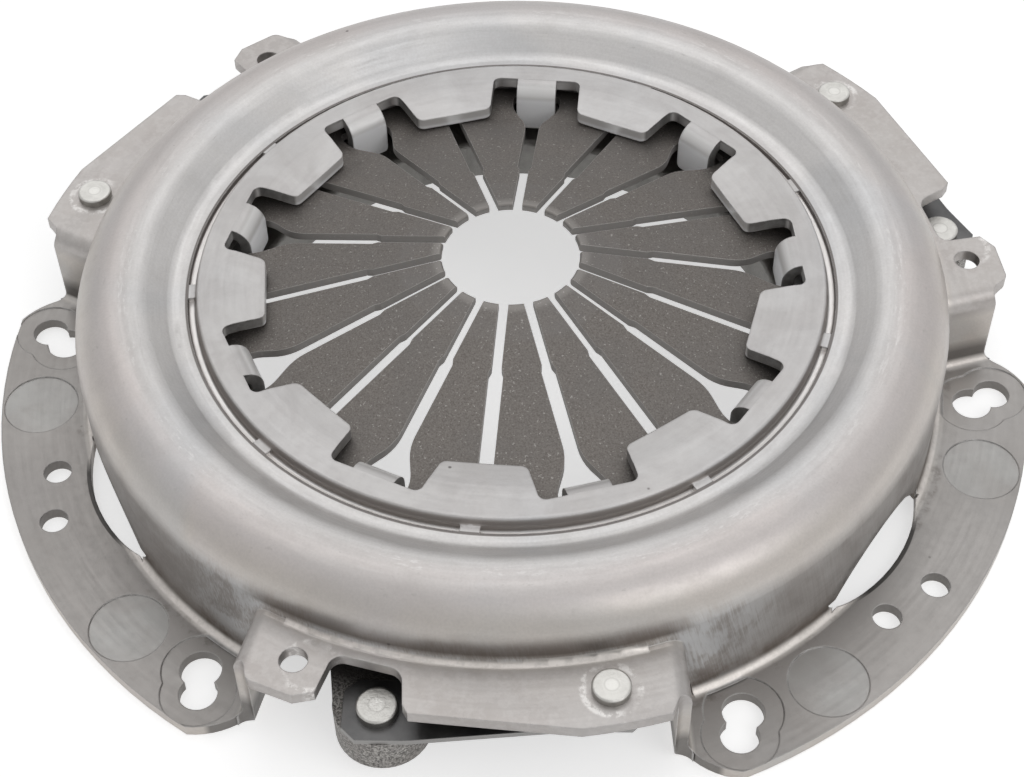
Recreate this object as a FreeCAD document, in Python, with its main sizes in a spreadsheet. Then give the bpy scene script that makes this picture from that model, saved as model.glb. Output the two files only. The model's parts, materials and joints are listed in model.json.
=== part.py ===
import FreeCAD
import Part
import math
import os

import Sketcher

# Clutch pressure plate of the diaphragm type for a small passenger car.
# Millimetres, +Z away from the flywheel. The origin is the centre of the mounting
# plane, which is the underside of the three flange sectors.

SIZES = {
    # pressed cover: sheet, wall, and how far each rim stands out from the wall
    "sheet": 3.2,
    "wall_radius": 109.5,
    "flange_width": 23.8,
    "ledge_width": 14.5,
    "ledge_end_flare": 3.0,
    "neck_width": 10.0,
    "crease_round": 2.7,
    "ledge_crease_round": 1.6,
    # heights of the cover
    "ledge_top": 27.1,
    "crown_rise": 15.5,
    "shelf_drop": 4.4,
    "shelf_edge_inset": 0.35,
    "shelf_edge_round": 0.6,
    "shelf_step_run": 0.6,
    "sill_lift": 0.25,
    "shoulder_drop": 2.45,
    # crown, inwards from the wall
    "crown_round": 12.5,
    "crest_inset": 17.1,
    "crest_round": 7.0,
    "shoulder_inset": 7.6,
    "shoulder_round": 4.0,
    "skin_shift": 1.2,
    # steps between a ledge and the flanges
    "step_turn": 9.0,
    "step_spread": 16.34,
    "step_round": 4.5,
    "step_inner_round": 1.5,
    "step_ledge_leg": 8.0,
    "step_flange_leg": 13.0,
    # ends of the ledges and flanges, as angles from the middle of a step
    "ledge_end_back": 3.8,
    "neck_back": 1.1,
    "flange_end_back": 0.8,
    "flange_corner_past": 3.06,
    "flange_end_round": 19.0,
    "flange_end_rise": 5.0,
    "neck_round": 2.5,
    # open slot of a ledge over the lug, as angles to both sides of the rivet
    "slot_far_angle": 5.7,
    "slot_near_angle": 2.3,
    "slot_floor_far": 4.0,
    "slot_floor_near": 3.9,
    "slot_far_round": 3.0,
    "slot_near_round": 4.0,
    "ledge_nose_angle": 4.75,
    "ledge_nose_cut": 2.1,
    "tongue_angle": 16.5,
    "tongue_reach": 17.2,
    # openings of the flange, as distances out from the wall and angles
    "bolt_offset": 15.1,
    "bolt_hole_radius": 4.5,
    "key_offset": 9.9,
    "key_hole_radius": 4.9,
    "key_back_angle": 1.8,
    "coin_depth": 0.3,
    "seat_margin": 4.4,
    "disc_radius": 9.5,
    "disc_offset": 13.7,
    "disc_angle": 18.1,
    "dowel_hole_radius": 3.5,
    "dowel_offset": 15.0,
    "offset_dowel_offset": 10.8,
    "offset_dowel_angle": 7.0,
    "small_hole_radius": 3.25,
    "small_hole_offset": 8.7,
    "small_hole_angle": 18.2,
    "window_depth": 3.8,
    "window_half_width": 21.8,
    "window_height": 18.0,
    "window_slant": 1.9,
    # tabs, hooks and bead of the cover
    "tab_count": 9,
    "tab_depth": 17.15,
    "tab_round": 2.2,
    "tab_fall": 1.9,
    "tab_bend_inset": 8.75,
    "tab_bend_round": 15.0,
    "bead_inset": 6.05,
    "bead_groove_reach": 2.2,
    "bead_groove_depth": 1.3,
    "bead_groove_round": 0.7,
    "bead_gap_angle": 3.3,
    "bead_gap_offset": 1.0,
    "rib_half_width": 2.6,
    "rib_round": 2.2,
    "rib_root": 0.2,
    "rib_clearance": 0.3,
    "slot_half_width": 11.8,
    "slot_inset": 6.1,
    "slot_round": 2.0,
    "hook_half_width": 5.3,
    "hook_sheet": 3.1,
    "hook_setback": 6.3,
    "hook_bend": 5.2,
    "hook_sink": 0.02,
    "hook_root": 1.0,
    "hook_foot_past": 1.75,
    "hook_foot_round": 1.0,
    # diaphragm spring
    "spring_sheet": 2.3,
    "tip_radius": 17.2,
    "tip_rise": 5.9,
    "tip_round": 0.8,
    "finger_slope": 0.244,
    "cone_inset": 5.9,
    "cone_round": 12.0,
    "cone_slope": 0.17,
    "spring_clearance": 4.8,
    "spring_edge_round": 0.7,
    "hook_side_clearance": 1.1,
    "hook_face_clearance": 0.9,
    "spring_window_depth": 7.5,
    "window_inner_round": 10.0,
    "window_outer_round": 2.5,
    "window_funnel": 8.0,
    "window_funnel_round": 12.0,
    "tip_slot_half": 1.2,
    "finger_slot_half": 1.8,
    "finger_slot_change": 34.5,
    "finger_slot_taper": 1.5,
    "relief_inset": 1.5,
    "relief_radius": 3.2,
    # wire ring under the spring
    "wire_radius": 1.5,
    "wire_clearance": 0.035,
    # pressure plate
    "plate_bottom": 5.5,
    "plate_bore": 70.0,
    "plate_clearance": 1.8,
    "plate_round": 1.5,
    "ridge_inset": 2.0,
    "ridge_half_width": 2.6,
    "ridge_height": 6.6,
    "ridge_clearance": 0.35,
    "ridge_inner_foot": 2.0,
    "ridge_outer_foot": 1.0,
    "lug_angle": 8.8,
    "lug_radius": 10.9,
    "lug_nose_round": 11.1,
    "lug_flare": 6.0,
    "lug_root_inset": 10.5,
    "lug_root_reach": 2.5,
    "lug_shoulder": 1.0,
    "lug_bottom": 6.2,
    # drive straps and rivets
    "strap_sheet": 0.75,
    "strap_width": 15.6,
    "strap_drop": 6.45,
    "strap_corner": 3.2,
    "strap_flat": 2.0,
    "strap_bend_round": 20.0,
    "plate_rivet_offset": 9.3,
    "cover_rivet_offset": 8.8,
    "cover_rivet_angle": 16.2,
    "rivet_radius": 3.0,
    "rivet_tail_margin": 1.2,
    "rivet_tail_height": 1.6,
    "rivet_edge_round": 0.6,
    "plate_rivet_head": 4.75,
    "plate_rivet_head_height": 2.3,
    "cover_rivet_head": 4.4,
    "cover_rivet_head_height": 2.05,
}

SECTORS = 3
HALF_SECTOR = 60
# turns that bring the section plane to the middle of the ledge at -Y or the flange at +Y
FRONT_TURN = 270
BACK_TURN = 90
# height of the planes that the through cuts start from, above the whole part
TALL = 80
# how far a raw shape runs past the cut or the piece that ends it
RUN_OUT = 3
# how far the wall, the rims and the steps run into each other
OVERLAP = 1.5
# the same as an angle
OVERLAP_ANGLE = 0.3

doc = FreeCAD.newDocument("clutch_pressure_plate")
table = doc.addObject("Spreadsheet::Sheet", "dims")
for row, (name, number) in enumerate(SIZES.items(), start=1):
    table.set("A%d" % row, name)
    table.set("B%d" % row, str(number))
    table.setAlias("B%d" % row, name)
doc.recompute()


class Size:
    """A number together with the sheet expression that it comes from."""

    def __init__(self, number, text=None):
        self.number = float(number)
        self.text = text if text else repr(float(number))

    def __add__(self, other):
        other = as_size(other)
        return Size(self.number + other.number, "(%s + %s)" % (self.text, other.text))

    def __radd__(self, other):
        return as_size(other) + self

    def __sub__(self, other):
        other = as_size(other)
        return Size(self.number - other.number, "(%s - %s)" % (self.text, other.text))

    def __rsub__(self, other):
        return as_size(other) - self

    def __mul__(self, other):
        other = as_size(other)
        return Size(self.number * other.number, "(%s * %s)" % (self.text, other.text))

    def __rmul__(self, other):
        return as_size(other) * self

    def __truediv__(self, other):
        other = as_size(other)
        return Size(self.number / other.number, "(%s / %s)" % (self.text, other.text))

    def __neg__(self):
        return Size(0) - self


class Dims:
    """The cells of the sheet as named sizes."""


def as_size(value):
    return value if isinstance(value, Size) else Size(value)


def sine(angle):
    angle = as_size(angle)
    return Size(math.sin(math.radians(angle.number)), "sin(%s)" % angle.text)


def cosine(angle):
    angle = as_size(angle)
    return Size(math.cos(math.radians(angle.number)), "cos(%s)" % angle.text)


def root(value):
    return Size(math.sqrt(value.number), "sqrt(%s)" % value.text)


def arc_tangent(value):
    return Size(math.degrees(math.atan(value.number)), "(atan(%s) / 1 deg)" % value.text)


def polar(radius, angle):
    """Point of the plan at a radius, with the angle counted from the middle of a ledge."""
    return as_size(radius) * sine(angle), -(as_size(radius) * cosine(angle))


dims = Dims()
for name, number in SIZES.items():
    setattr(dims, name, Size(number, "dims." + name))


def bind(thing, path, value):
    """Set a property to a size and keep it bound to the sheet."""
    thing.setExpression(path, as_size(value).text)


def new_body(name):
    body = doc.addObject("PartDesign::Body", name)
    body.Label = name
    return body


def origin_feature(body, role):
    for feature in body.Origin.OriginFeatures:
        if feature.Role == role:
            return feature
    raise RuntimeError("no " + role)


def new_sketch(body, name, plane="XY_Plane", lift=None, turn=None):
    """Sketch on an origin plane, lifted along its normal and turned about Z."""
    sketch = body.newObject("Sketcher::SketchObject", name)
    sketch.AttachmentSupport = (origin_feature(body, plane), [""])
    sketch.MapMode = "FlatFace"
    axis = FreeCAD.Vector(0, 0, 1) if plane == "XY_Plane" else FreeCAD.Vector(0, 1, 0)
    lift = as_size(lift or 0)
    turn = as_size(turn or 0)
    rotation = FreeCAD.Rotation(axis, turn.number)
    base = rotation.multVec(FreeCAD.Vector(0, 0, lift.number))
    sketch.AttachmentOffset = FreeCAD.Placement(base, rotation)
    if plane == "XY_Plane" and "dims" in lift.text:
        bind(sketch, "AttachmentOffset.Base.z", lift)
    if "dims" in turn.text:
        bind(sketch, "AttachmentOffset.Rotation.Angle", turn)
        if plane != "XY_Plane":
            bind(sketch, "AttachmentOffset.Base.x", lift * sine(turn))
            bind(sketch, "AttachmentOffset.Base.z", lift * cosine(turn))
    elif plane != "XY_Plane" and "dims" in lift.text:
        bind(sketch, "AttachmentOffset.Base.x", lift * sine(turn))
        bind(sketch, "AttachmentOffset.Base.z", lift * cosine(turn))
    return sketch


def fix_point(sketch, item, end, x, y):
    """Hold a point of a sketch at sizes of the sheet."""
    for kind, value, axis in (("DistanceX", x, -2), ("DistanceY", y, -1)):
        value = as_size(value)
        if value.text in ("0.0", "-0.0"):
            sketch.addConstraint(Sketcher.Constraint("PointOnObject", item, end, axis))
            continue
        index = sketch.addConstraint(Sketcher.Constraint(kind, item, end, value.number))
        if "dims" in value.text:
            bind(sketch, "Constraints[%d]" % index, value)


def fix_radius(sketch, item, radius):
    index = sketch.addConstraint(Sketcher.Constraint("Radius", item, as_size(radius).number))
    if "dims" in as_size(radius).text:
        bind(sketch, "Constraints[%d]" % index, radius)


class Corner:
    """Corner of an outline: its place, its rounding and the arc radius of what follows.

    A positive arc radius turns left from this corner to the next, a negative one right.
    """

    def __init__(self, x, y, rounding=None, arc=None):
        self.x = as_size(x)
        self.y = as_size(y)
        self.rounding = None if rounding is None else as_size(rounding)
        self.arc = None if arc is None else as_size(arc)
        self.point = FreeCAD.Vector(self.x.number, self.y.number, 0)


def tangent_length(before, corner, after):
    first = (before.point - corner.point).normalize()
    second = (after.point - corner.point).normalize()
    return corner.rounding.number / math.tan(first.getAngle(second) / 2)


def arc_between(start, end, radius):
    """Arc of a signed radius, and the point numbers of its two ends."""
    chord = end - start
    left = FreeCAD.Vector(-chord.y, chord.x, 0).normalize()
    height = math.sqrt(max(radius * radius - chord.Length ** 2 / 4, 0.0))
    side = 1 if radius > 0 else -1
    centre = (start + end) * 0.5 + left * (height * side)
    first, last = (start, end) if radius > 0 else (end, start)
    low = math.atan2(first.y - centre.y, first.x - centre.x)
    high = math.atan2(last.y - centre.y, last.x - centre.x)
    circle = Part.Circle(centre, FreeCAD.Vector(0, 0, 1), abs(radius))
    numbers = (1, 2) if radius > 0 else (2, 1)
    return Part.ArcOfCircle(circle, low, high if high > low else high + 2 * math.pi), numbers


def outline(sketch, corners):
    """Draw a closed outline whose every corner is held by the sheet."""
    count = len(corners)
    trims = []
    for index, corner in enumerate(corners):
        if corner.rounding is None:
            trims.append(0.0)
        else:
            after = corners[(index + 1) % count]
            trims.append(tangent_length(corners[index - 1], corner, after))
    stretches = []
    for index, corner in enumerate(corners):
        after = corners[(index + 1) % count]
        if corner.arc is not None:
            arc, numbers = arc_between(corner.point, after.point, corner.arc.number)
            item = sketch.addGeometry(arc, False)
            stretches.append((item, numbers[0], numbers[1]))
            continue
        along = (after.point - corner.point).normalize()
        start = corner.point + along * trims[index]
        end = after.point - along * trims[(index + 1) % count]
        item = sketch.addGeometry(Part.LineSegment(start, end), False)
        stretches.append((item, 1, 2))
    for index, corner in enumerate(corners):
        before, _, before_end = stretches[index - 1]
        after, after_start, _ = stretches[index]
        if corner.rounding is None:
            joint = Sketcher.Constraint("Coincident", before, before_end, after, after_start)
            sketch.addConstraint(joint)
            fix_point(sketch, after, after_start, corner.x, corner.y)
            if corner.arc is not None:
                fix_radius(sketch, after, Size(abs(corner.arc.number), absolute(corner.arc)))
            continue
        place = sketch.addGeometry(Part.Point(corner.point), True)
        fix_point(sketch, place, 1, corner.x, corner.y)
        sketch.addConstraint(Sketcher.Constraint("PointOnObject", place, 1, before))
        sketch.addConstraint(Sketcher.Constraint("PointOnObject", place, 1, after))
        previous = corners[index - 1].point
        following = corners[(index + 1) % count].point
        toward = (previous - corner.point).normalize()
        away = (following - corner.point).normalize()
        start = corner.point + toward * trims[index]
        end = corner.point + away * trims[index]
        turn = toward.cross(away).z
        signed = -corner.rounding.number if turn > 0 else corner.rounding.number
        arc, numbers = arc_between(start, end, signed)
        item = sketch.addGeometry(arc, False)
        sketch.addConstraint(Sketcher.Constraint("Tangent", before, before_end, item, numbers[0]))
        sketch.addConstraint(Sketcher.Constraint("Tangent", after, after_start, item, numbers[1]))
        fix_radius(sketch, item, corner.rounding)


def absolute(value):
    return value.text if value.number >= 0 else "(-1 * %s)" % value.text


def circle(sketch, x, y, radius):
    centre = FreeCAD.Vector(as_size(x).number, as_size(y).number, 0)
    ring = Part.Circle(centre, FreeCAD.Vector(0, 0, 1), as_size(radius).number)
    item = sketch.addGeometry(ring, False)
    fix_radius(sketch, item, radius)
    fix_point(sketch, item, 3, x, y)


def revolve(body, sketch, name, angle=360, kind="Revolution"):
    feature = body.newObject("PartDesign::" + kind, name)
    feature.Profile = sketch
    feature.ReferenceAxis = (sketch, ["V_Axis"])
    feature.Midplane = as_size(angle).number < 360
    feature.Angle = as_size(angle).number
    if "dims" in as_size(angle).text:
        bind(feature, "Angle", angle)
    return feature


def pad(body, sketch, name, length, midplane=False):
    feature = body.newObject("PartDesign::Pad", name)
    feature.Profile = sketch
    feature.Length = as_size(length).number
    bind(feature, "Length", length)
    feature.Midplane = midplane
    return feature


def pocket(body, sketch, name, length=None):
    """Cut against the sketch's normal, through everything when no length is given."""
    feature = body.newObject("PartDesign::Pocket", name)
    feature.Profile = sketch
    if length is None:
        feature.Type = "ThroughAll"
    else:
        feature.Length = as_size(length).number
        bind(feature, "Length", length)
    return feature


def around(body, feature, count, name):
    """Repeat a feature about the axis of the clutch."""
    pattern = body.newObject("PartDesign::PolarPattern", name)
    pattern.Originals = [feature]
    pattern.Axis = (origin_feature(body, "Z_Axis"), [""])
    pattern.Angle = 360
    pattern.Occurrences = count
    body.Tip = pattern
    return pattern


wall_inner = dims.wall_radius - dims.sheet
flange_radius = dims.wall_radius + dims.flange_width
ledge_reach = dims.wall_radius + dims.ledge_width
ledge_end_reach = ledge_reach + dims.ledge_end_flare
neck_radius = dims.wall_radius + dims.neck_width
ledge_under = dims.ledge_top - dims.sheet
crown_top = dims.ledge_top + dims.crown_rise
shelf_top = crown_top - dims.shelf_drop
shoulder_top = shelf_top - dims.shoulder_drop
crest_radius = dims.wall_radius - dims.crest_inset
shoulder_radius = crest_radius - dims.shoulder_inset
bead_radius = shoulder_radius - dims.bead_inset
slot_reach = bead_radius - dims.slot_inset
tab_edge = bead_radius - dims.tab_depth
hook_face = tab_edge + dims.hook_setback
cone_radius = hook_face - dims.cone_inset
wall_foot = dims.ledge_top + OVERLAP
step_middle = dims.step_turn + dims.step_spread
half_tab = Size(180) / dims.tab_count
tab_total = round(dims.tab_count.number)

tip_height = shelf_top + dims.tip_rise
finger_fall = (cone_radius - dims.tip_radius) * dims.finger_slope
spring_rise = root(1 + dims.cone_slope * dims.cone_slope) * dims.spring_sheet
spring_radius = wall_inner - dims.spring_clearance
window_inner = hook_face - dims.hook_face_clearance


def spring_top(radius):
    """Height of the upper face of the spring at a radius outside the fingers."""
    return tip_height - finger_fall - (radius - cone_radius) * dims.cone_slope


wire_height = spring_top(bead_radius) - spring_rise - dims.wire_radius - dims.wire_clearance
foot_top = wire_height - dims.wire_radius
ridge_radius = spring_radius - dims.ridge_inset
ridge_top = spring_top(ridge_radius) - spring_rise - dims.ridge_clearance
plate_top = ridge_top - dims.ridge_height
plate_radius = wall_inner - dims.plate_clearance
pack_height = dims.strap_sheet * 2
lug_top = ledge_under - pack_height - dims.strap_drop
plate_rivet_circle = dims.wall_radius + dims.plate_rivet_offset
cover_rivet_circle = dims.wall_radius + dims.cover_rivet_offset
plate_pin = polar(plate_rivet_circle, -dims.lug_angle)
cover_pin = polar(cover_rivet_circle, dims.cover_rivet_angle)
strap_across = cover_pin[0] - plate_pin[0]
strap_along = cover_pin[1] - plate_pin[1]
strap_length = root(strap_across * strap_across + strap_along * strap_along)
strap_turn = arc_tangent(strap_along / strap_across)


shelf_end = tab_edge - RUN_OUT
shelf_edge = bead_radius - dims.shelf_edge_inset
tab_bend = bead_radius - dims.tab_bend_inset
sill_top = shoulder_top + dims.sill_lift


def dome_profile(sketch):
    """Section of the crown: bent tabs, shelf, sill, rounded shoulder and top of the wall."""
    shift = dims.skin_shift
    outline(sketch, [
        Corner(shelf_end, shelf_top - dims.tab_fall),
        Corner(tab_bend, shelf_top, dims.tab_bend_round),
        Corner(shelf_edge, shelf_top, dims.shelf_edge_round),
        Corner(shelf_edge + dims.shelf_step_run, sill_top, dims.shelf_edge_round),
        Corner(shoulder_radius, shoulder_top, dims.shoulder_round),
        Corner(crest_radius, crown_top, dims.crest_round),
        Corner(dims.wall_radius, crown_top, dims.crown_round),
        Corner(dims.wall_radius, wall_foot),
        Corner(wall_inner, wall_foot),
        Corner(wall_inner, crown_top - dims.sheet, dims.crown_round - dims.sheet),
        Corner(crest_radius + shift, crown_top - dims.sheet, dims.crest_round - dims.sheet),
        Corner(shoulder_radius + shift, shoulder_top - dims.sheet, dims.shoulder_round + dims.sheet),
        Corner(shelf_edge - shift, sill_top - dims.sheet),
        Corner(shelf_edge - shift - dims.shelf_step_run, shelf_top - dims.sheet),
        Corner(tab_bend, shelf_top - dims.sheet, dims.tab_bend_round),
        Corner(shelf_end, shelf_top - dims.tab_fall - dims.sheet),
    ])


def rim_profile(sketch, floor, reach, crease):
    """Section of a wall that turns outwards into a flat rim at the floor height."""
    outline(sketch, [
        Corner(wall_inner, wall_foot),
        Corner(wall_inner, floor, crease + dims.sheet),
        Corner(reach, floor),
        Corner(reach, as_size(floor) + dims.sheet),
        Corner(dims.wall_radius, as_size(floor) + dims.sheet, crease),
        Corner(dims.wall_radius, wall_foot),
    ])


def band_profile(sketch, low):
    """Section of the wall alone, from a height up to the foot of the crown."""
    outline(sketch, [
        Corner(wall_inner, low),
        Corner(dims.wall_radius, low),
        Corner(dims.wall_radius, wall_foot),
        Corner(wall_inner, wall_foot),
    ])


def step_profile(sketch, side):
    """Section of the sheet where a ledge drops to the flange, seen from outside."""
    middle = dims.wall_radius * sine(dims.step_spread) * side
    high_side = (dims.sheet / 2) * side
    ledge_leg = dims.step_ledge_leg * side
    flange_leg = dims.step_flange_leg * side
    outline(sketch, [
        Corner(middle - ledge_leg, dims.ledge_top),
        Corner(middle + high_side, dims.ledge_top, dims.step_round),
        Corner(middle + high_side, dims.sheet, dims.crease_round),
        Corner(middle + flange_leg, dims.sheet),
        Corner(middle + flange_leg, 0),
        Corner(middle - high_side, 0, dims.step_round),
        Corner(middle - high_side, ledge_under, dims.step_inner_round),
        Corner(middle - ledge_leg, ledge_under),
    ])


def plan_trim(sketch):
    """What is cut away round one ledge, from the end of one flange to the next."""
    clear = flange_radius + dims.flange_width
    outer = neck_radius + dims.flange_end_rise
    corner_angle = step_middle + dims.flange_corner_past
    flange_end = step_middle - dims.flange_end_back
    neck = step_middle - dims.neck_back
    ledge_end = step_middle - dims.ledge_end_back
    slot_far = dims.lug_angle + dims.slot_far_angle
    slot_near = dims.lug_angle - dims.slot_near_angle
    half_chord = root(ledge_end_reach * ledge_end_reach - ledge_reach * ledge_reach)
    floor_far = dims.wall_radius + dims.slot_floor_far
    floor_near = dims.wall_radius + dims.slot_floor_near
    outline(sketch, [
        Corner(*polar(clear, -corner_angle)),
        Corner(*polar(flange_radius, -corner_angle), arc=dims.flange_end_round),
        Corner(*polar(outer, -flange_end)),
        Corner(*polar(neck_radius, -neck), rounding=dims.neck_round),
        Corner(*polar(ledge_end_reach, -ledge_end), rounding=dims.neck_round),
        Corner(*polar(dims.wall_radius + dims.tongue_reach, -dims.tongue_angle)),
        Corner(*polar(ledge_reach, -slot_far)),
        Corner(*polar(floor_far, -slot_far), rounding=dims.slot_far_round),
        Corner(*polar(floor_near, -slot_near), rounding=dims.slot_near_round),
        Corner(*polar(ledge_reach - dims.ledge_nose_cut, -(slot_near - 1))),
        Corner(*polar(ledge_reach, -dims.ledge_nose_angle)),
        Corner(half_chord, -ledge_reach, arc=ledge_end_reach),
        Corner(*polar(ledge_end_reach, ledge_end)),
        Corner(*polar(neck_radius, neck), rounding=dims.neck_round),
        Corner(*polar(outer, flange_end), arc=dims.flange_end_round),
        Corner(*polar(flange_radius, corner_angle)),
        Corner(*polar(clear, corner_angle), arc=-clear),
    ])


def flange_place(offset, angle):
    """Point out from the wall, with the angle counted from the middle of the flange at +Y."""
    radius = dims.wall_radius + offset
    return -(radius * sine(angle)), radius * cosine(angle)


def cover_holes(body):
    """Coined seats and discs of the flanges, two-lobed bolt holes, dowel and rivet holes."""
    wide_seats = new_sketch(body, "wide_seat_sketch", lift=dims.sheet)
    narrow_seats = new_sketch(body, "narrow_seat_sketch", lift=dims.sheet)
    wide_lobes = new_sketch(body, "wide_lobe_sketch", lift=TALL)
    narrow_lobes = new_sketch(body, "narrow_lobe_sketch", lift=TALL)
    bolt_angle = Size(180 / (2 * SECTORS))
    for side in (-1, 1):
        bolt = flange_place(dims.bolt_offset, bolt_angle * side)
        key = flange_place(dims.key_offset, (bolt_angle - dims.key_back_angle) * side)
        disc = flange_place(dims.disc_offset, dims.disc_angle * side)
        circle(wide_seats, *bolt, dims.bolt_hole_radius + dims.seat_margin)
        circle(narrow_seats, *key, dims.key_hole_radius + dims.seat_margin)
        circle(narrow_seats, *disc, dims.disc_radius)
        circle(wide_lobes, *bolt, dims.bolt_hole_radius)
        circle(narrow_lobes, *key, dims.key_hole_radius)
    dowel = flange_place(dims.dowel_offset, 0)
    offset_dowel = flange_place(dims.offset_dowel_offset, -dims.offset_dowel_angle)
    small_hole = polar(dims.wall_radius + dims.small_hole_offset, -dims.small_hole_angle)
    circle(wide_lobes, *dowel, dims.dowel_hole_radius)
    circle(narrow_lobes, *offset_dowel, dims.dowel_hole_radius)
    circle(wide_lobes, *small_hole, dims.small_hole_radius)
    circle(narrow_lobes, *cover_pin, dims.rivet_radius)
    for sketch, name, depth in ((wide_seats, "wide_seat", dims.coin_depth),
                                (narrow_seats, "narrow_seat", dims.coin_depth),
                                (wide_lobes, "wide_lobe", None),
                                (narrow_lobes, "narrow_lobe", None)):
        around(body, pocket(body, sketch, name, depth), SECTORS, name + "s")


def turn_section(body, name, turn, draw, half_angle, kind="Revolution"):
    """Section turned about the axis over an angle to both sides, in all three sectors."""
    section = new_sketch(body, name + "_sketch", "XZ_Plane", turn=turn)
    draw(section)
    around(body, revolve(body, section, name, half_angle * 2, kind), SECTORS, name + "s")


def cover_rims(body):
    """Three ledges and three flange sectors turned out from the wall, and their steps."""
    rim_end = ledge_end_reach + RUN_OUT
    ledge_half = step_middle - dims.ledge_end_back
    flange_half = HALF_SECTOR - step_middle
    turn_section(body, "ledge", FRONT_TURN,
                 lambda sketch: rim_profile(sketch, ledge_under, rim_end, dims.ledge_crease_round),
                 ledge_half)
    turn_section(body, "flange", BACK_TURN,
                 lambda sketch: rim_profile(sketch, 0, flange_radius, dims.crease_round),
                 flange_half - dims.flange_corner_past + dims.flange_end_back)
    turn_section(body, "wall", BACK_TURN,
                 lambda sketch: band_profile(sketch, dims.sheet + dims.crease_round),
                 flange_half + OVERLAP_ANGLE)
    turn_section(body, "brow", BACK_TURN,
                 lambda sketch: band_profile(sketch, dims.ledge_top - dims.step_round),
                 flange_half + dims.ledge_end_back)
    start = wall_inner - dims.ledge_end_back
    for side, name in ((-1, "left"), (1, "right")):
        step = new_sketch(body, name + "_step_sketch", "XZ_Plane", start, dims.step_turn * side)
        step_profile(step, side)
        around(body, pad(body, step, name + "_step", rim_end - start), SECTORS, name + "_steps")
    inside = new_sketch(body, "inside_sketch", "XZ_Plane")
    outline(inside, [
        Corner(crest_radius, -OVERLAP),
        Corner(wall_inner, -OVERLAP),
        Corner(wall_inner, ledge_under),
        Corner(crest_radius, ledge_under),
    ])
    revolve(body, inside, "inside", kind="Groove")


def make_cover():
    body = new_body("cover")
    dome = new_sketch(body, "dome_sketch", "XZ_Plane")
    dome_profile(dome)
    revolve(body, dome, "dome")
    cover_rims(body)
    trim = new_sketch(body, "trim_sketch", lift=TALL)
    plan_trim(trim)
    around(body, pocket(body, trim, "trim"), SECTORS, "trims")
    cover_holes(body)
    cover_windows(body)
    cover_tabs(body)
    return body


def bow_radius(half_width, rise):
    """Radius of the arc that rises by this much over a chord of twice the half width."""
    return (half_width * half_width + rise * rise) / (rise * 2)


def cover_windows(body):
    """Lens-shaped gap between the wall and each flange, with the wall arched over it."""
    half = dims.window_half_width
    chord = root(dims.wall_radius * dims.wall_radius - half * half)
    depth = dims.wall_radius + dims.window_depth - chord
    foot = dims.sheet + dims.crease_round
    inside = wall_inner - RUN_OUT
    lens = new_sketch(body, "lens_sketch", lift=foot)
    outline(lens, [
        Corner(half, inside),
        Corner(half, chord, arc=bow_radius(half, depth)),
        Corner(-half, chord),
        Corner(-half, inside),
    ])
    around(body, pocket(body, lens, "lens", foot * 2), SECTORS, "lenses")
    arch = new_sketch(body, "arch_sketch", "XZ_Plane", lift=-dims.wall_radius)
    outline(arch, [
        Corner(half, foot, arc=bow_radius(half, dims.window_height - foot)),
        Corner(-half, foot),
    ])
    feature = pocket(body, arch, "arch", dims.sheet * 2)
    feature.Reversed = True
    feature.UseCustomVector = True
    feature.Direction = FreeCAD.Vector(0, 1, dims.window_slant.number)
    bind(feature, "Direction.z", dims.window_slant)
    around(body, feature, SECTORS, "arches")


def turned(outward, aside, angle):
    """Point of the plan from its distances along and across a direction."""
    along_x, along_y = polar(outward, angle)
    return along_x + aside * cosine(angle), along_y + aside * sine(angle)


def cover_tabs(body):
    """Nine tabs, nine formed hooks between slots, and the bead that bears on the spring."""
    opening = new_sketch(body, "tab_sketch", lift=TALL)
    half_edge = (tab_edge * sine(half_tab) - dims.slot_half_width) / cosine(half_tab)
    corners = []
    for index in range(tab_total):
        tab = half_tab * (2 * index)
        slot = half_tab * (2 * index + 1)
        corners.append(Corner(*turned(tab_edge, -half_edge, tab), rounding=dims.tab_round))
        corners.append(Corner(*turned(tab_edge, half_edge, tab), rounding=dims.tab_round))
        corners.append(Corner(*turned(slot_reach, -dims.slot_half_width, slot), rounding=dims.slot_round))
        corners.append(Corner(*turned(slot_reach, dims.slot_half_width, slot), rounding=dims.slot_round))
    outline(opening, corners)
    pocket(body, opening, "tabs")
    bead_turn = Size(FRONT_TURN) - half_tab - dims.bead_gap_offset
    span = half_tab * 2 - dims.bead_gap_angle
    rib = new_sketch(body, "bead_rib_sketch", "XZ_Plane", turn=bead_turn)
    rib_top = shelf_top - dims.sheet + dims.rib_root
    rib_bottom = spring_top(bead_radius) + dims.rib_clearance
    outline(rib, [
        Corner(bead_radius - dims.rib_half_width, rib_top),
        Corner(bead_radius - dims.rib_half_width, rib_bottom, dims.rib_round),
        Corner(bead_radius + dims.rib_half_width, rib_bottom, dims.rib_round),
        Corner(bead_radius + dims.rib_half_width, rib_top),
    ])
    around(body, revolve(body, rib, "bead_rib", span), tab_total, "bead_ribs")
    groove = new_sketch(body, "bead_groove_sketch", "XZ_Plane", turn=bead_turn)
    groove_inner = shelf_edge + dims.shelf_step_run
    groove_outer = bead_radius + dims.bead_groove_reach
    groove_floor = shoulder_top - dims.bead_groove_depth
    groove_mouth = sill_top + OVERLAP
    outline(groove, [
        Corner(groove_inner, groove_mouth),
        Corner(groove_inner, groove_floor, dims.bead_groove_round),
        Corner(groove_outer, groove_floor, dims.bead_groove_round),
        Corner(groove_outer, groove_mouth),
    ])
    around(body, revolve(body, groove, "bead_groove", span, "Groove"), tab_total, "bead_grooves")
    hook = new_sketch(body, "hook_sketch", "XZ_Plane", turn=Size(FRONT_TURN) - half_tab)
    hook_profile(hook)
    feature = pad(body, hook, "hook", dims.hook_half_width * 2, midplane=True)
    around(body, feature, tab_total, "hooks")


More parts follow.
